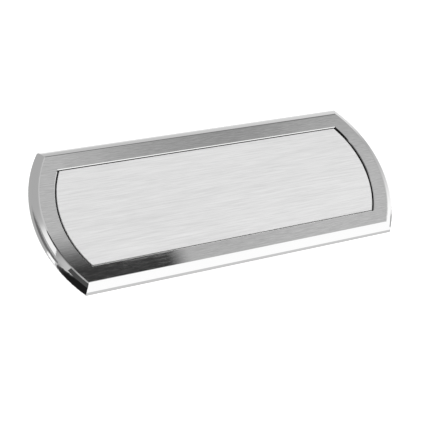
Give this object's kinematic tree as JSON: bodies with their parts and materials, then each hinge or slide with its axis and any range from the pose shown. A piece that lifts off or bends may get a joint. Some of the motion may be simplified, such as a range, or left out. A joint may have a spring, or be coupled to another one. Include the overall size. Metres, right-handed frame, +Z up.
{
  "type": "ink blotter",
  "caption": "Slim rocker blotter: a metal top plate with a brushed inlay over a hinged curved base that carries blotting paper.",
  "frame": {"origin": "centre of the bounding box at its bottom, on the lowest line of the curved blotting paper, where the blotter stands", "axes": "+X along the plate's length, +Y towards the hinge side, +Z up through the top plate"},
  "size_m": [0.18, 0.07, 0.0155],
  "materials": {
    "polished_rim": "polished chrome plate on the rim, satin on the flat border",
    "brushed_plate": "fine brushing along the length",
    "bonding_film": "double-sided bonding film",
    "steel_plate": "zinc-plated sheet steel",
    "screw_steel": "bright slotted screws",
    "strip_rubber": "matt black rubber",
    "hinge_steel": "nickel-plated pressed steel",
    "spring_steel": "tempered spring steel",
    "block_wood": "dark stained hardwood, satin lacquer",
    "green_felt": "pressed wool felt",
    "paper": "soft unsized blotting paper"
  },
  "bodies": {
    "top_plate": {"bezel_frame": "polished_rim", "brushed_inlay": "brushed_plate", "inlay_adhesive": "bonding_film", "pressure_plate": "steel_plate", "pressure_plate_screws": "screw_steel", "clamp_strip_left": "strip_rubber", "clamp_strip_right": "strip_rubber", "hinge_leaf_top": "hinge_steel", "hinge_leaf_top_screws": "screw_steel", "hinge_pin": "hinge_steel", "spring_catch": "spring_steel", "spring_catch_screws": "screw_steel"},
    "rocker_base": {"rocker_block": "block_wood", "felt_cushion": "green_felt", "blotting_paper": "paper", "hinge_leaf_base": "hinge_steel", "hinge_leaf_base_screws": "screw_steel", "strike_plate": "hinge_steel", "strike_plate_screws": "screw_steel"}
  },
  "joints": [
    {"name": "base_hinge", "type": "hinge", "parent": "top_plate", "child": "rocker_base", "pos_m": [0, 0.0312, 0.0097], "axis": [1, 0, 0], "range_deg": [0, 90], "deforming": ["spring_catch"]}
  ]
}
